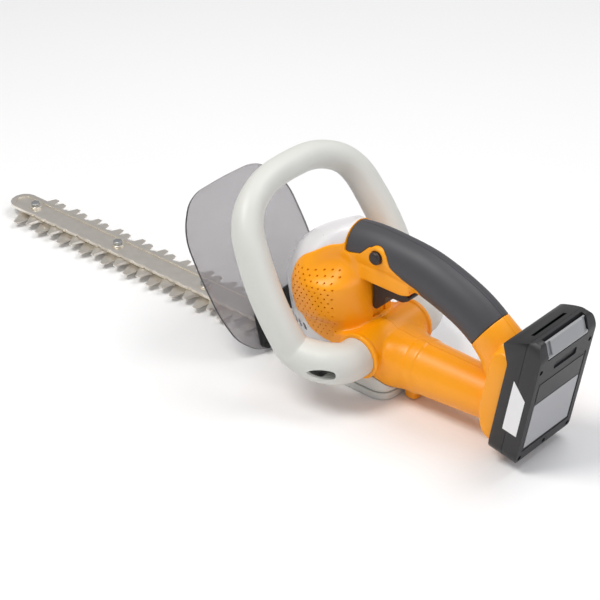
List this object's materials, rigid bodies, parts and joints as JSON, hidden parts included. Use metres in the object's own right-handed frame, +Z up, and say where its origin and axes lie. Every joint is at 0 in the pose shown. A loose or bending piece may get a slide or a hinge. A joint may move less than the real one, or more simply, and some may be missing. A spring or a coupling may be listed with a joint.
{
  "type": "cordless hedge trimmer",
  "caption": "Cordless hedge trimmer: twin toothed blades on a long guide bar, clear hand shield, loop front handle, rear grip with trigger and a slide-on battery pack.",
  "frame": {"origin": "on the plane that the tool rests on, straight below the crank's axis, at the middle of the bottom plate's flat underside", "axes": "+X forward along the blade to its tip, +Y to the tool's left, +Z up"},
  "size_m": [0.6597, 0.1876, 0.1865],
  "materials": {
    "housing_yellow": "satin moulded plastic, orange-yellow",
    "cover_white": "satin moulded plastic, off-white",
    "handle_grey": "fine-textured moulded plastic, light warm grey",
    "grip_rubber": "matt overmoulded elastomer, dark grey",
    "dark_plastic": "moulded plastic, brown-black",
    "black_plastic": "textured moulded plastic, black",
    "pack_grey": "textured moulded plastic, dark grey",
    "latch_grey": "smooth moulded plastic, mid grey",
    "shield_clear": "clear smoke-tinted sheet plastic, polished",
    "blade_steel": "ground and nickel-plated steel, satin",
    "screw_steel": "zinc-plated steel",
    "gear_steel": "sintered steel, oiled",
    "pinion_brass": "machined brass",
    "plate_aluminium": "rolled aluminium plate",
    "terminal_copper": "plated copper alloy, bright",
    "cell_wrap": "shrink-wrapped cells, green",
    "board_green": "lacquered circuit board, green",
    "lead_red": "insulated wire, red",
    "lead_black": "insulated wire, black"
  },
  "bodies": {
    "tool": {"left_housing": "housing_yellow", "right_housing": "housing_yellow", "front_cover": "cover_white", "gear_case": "handle_grey", "bottom_plate": "handle_grey", "loop_handle": "handle_grey", "loop_screw_left": "screw_steel", "loop_screw_right": "screw_steel", "left_grip": "grip_rubber", "right_grip": "grip_rubber", "trigger_spring": "screw_steel", "switch_body": "black_plastic", "lock_off_spring": "screw_steel", "motor": "gear_steel", "motor_plate": "plate_aluminium", "plate_screw_1": "screw_steel", "plate_screw_2": "screw_steel", "crank_bearing": "screw_steel", "guide_bar": "blade_steel", "bar_screw": "screw_steel", "shield": "shield_clear", "shield_bracket": "black_plastic", "shield_screw_left": "screw_steel", "shield_screw_right": "screw_steel", "terminal_block": "black_plastic", "positive_terminal": "terminal_copper", "negative_terminal": "terminal_copper", "switch_lead": "lead_red", "motor_lead": "lead_black", "housing_screw_1": "screw_steel", "housing_screw_2": "screw_steel", "housing_screw_3": "screw_steel", "housing_screw_4": "screw_steel", "housing_screw_5": "screw_steel", "base_screw_1": "screw_steel", "base_screw_2": "screw_steel", "base_screw_3": "screw_steel", "base_screw_4": "screw_steel", "blade_bolt_1": "screw_steel", "blade_nut_1": "screw_steel", "blade_bolt_2": "screw_steel", "blade_nut_2": "screw_steel", "blade_bolt_3": "screw_steel", "blade_nut_3": "screw_steel"},
    "crank": {"drive_gear": "gear_steel", "upper_cam": "gear_steel", "lower_cam": "gear_steel", "crank_axle": "screw_steel"},
    "motor_rotor": {"motor_shaft": "screw_steel", "pinion": "pinion_brass", "cooling_fan": "black_plastic"},
    "upper_blade_slide": {"upper_blade": "blade_steel"},
    "lower_blade_slide": {"lower_blade": "blade_steel"},
    "trigger_lever": {"trigger": "dark_plastic"},
    "lock_off": {"lock_off_button": "dark_plastic"},
    "battery_pack": {"pack_front_shell": "black_plastic", "pack_rear_shell": "pack_grey", "cell_block": "cell_wrap", "pack_board": "board_green"},
    "pack_latch": {"latch_bar": "latch_grey"}
  },
  "joints": [
    {"name": "crank_spin", "type": "hinge", "parent": "tool", "child": "crank", "pos_m": [0, 0, 0.017], "axis": [0, 0, 1], "continuous": true},
    {"name": "motor_spin", "type": "hinge", "parent": "tool", "child": "motor_rotor", "pos_m": [-0.03, 0, 0.06], "axis": [0, 0, 1], "continuous": true},
    {"name": "upper_blade_stroke", "type": "slide", "parent": "tool", "child": "upper_blade_slide", "axis": [1, 0, 0], "range_m": [-0.005, 0.005]},
    {"name": "lower_blade_stroke", "type": "slide", "parent": "tool", "child": "lower_blade_slide", "axis": [1, 0, 0], "range_m": [-0.005, 0.005]},
    {"name": "trigger_pull", "type": "hinge", "parent": "tool", "child": "trigger_lever", "pos_m": [-0.073, 0, 0.103], "axis": [0, 1, 0], "range_deg": [0, 8], "stiffness_Nm_per_rad": 0.4, "deforming": ["trigger_spring"]},
    {"name": "lock_off_press", "type": "slide", "parent": "tool", "child": "lock_off", "axis": [0, -1, 0], "range_m": [0, 0.003], "stiffness_N_per_m": 300, "deforming": ["lock_off_spring"]},
    {"name": "pack_slide", "type": "slide", "parent": "tool", "child": "battery_pack", "axis": [-0.1874, 0, 0.9823], "range_m": [0, 0.07]},
    {"name": "latch_press", "type": "slide", "parent": "battery_pack", "child": "pack_latch", "axis": [0.9823, 0, 0.1874], "range_m": [0, 0.0015], "stiffness_N_per_m": 900}
  ],
  "couplings": [
    {"joint": "motor_spin", "follows": "crank_spin", "ratio": -4},
    {"joint": "lower_blade_stroke", "follows": "upper_blade_stroke", "ratio": -1}
  ]
}
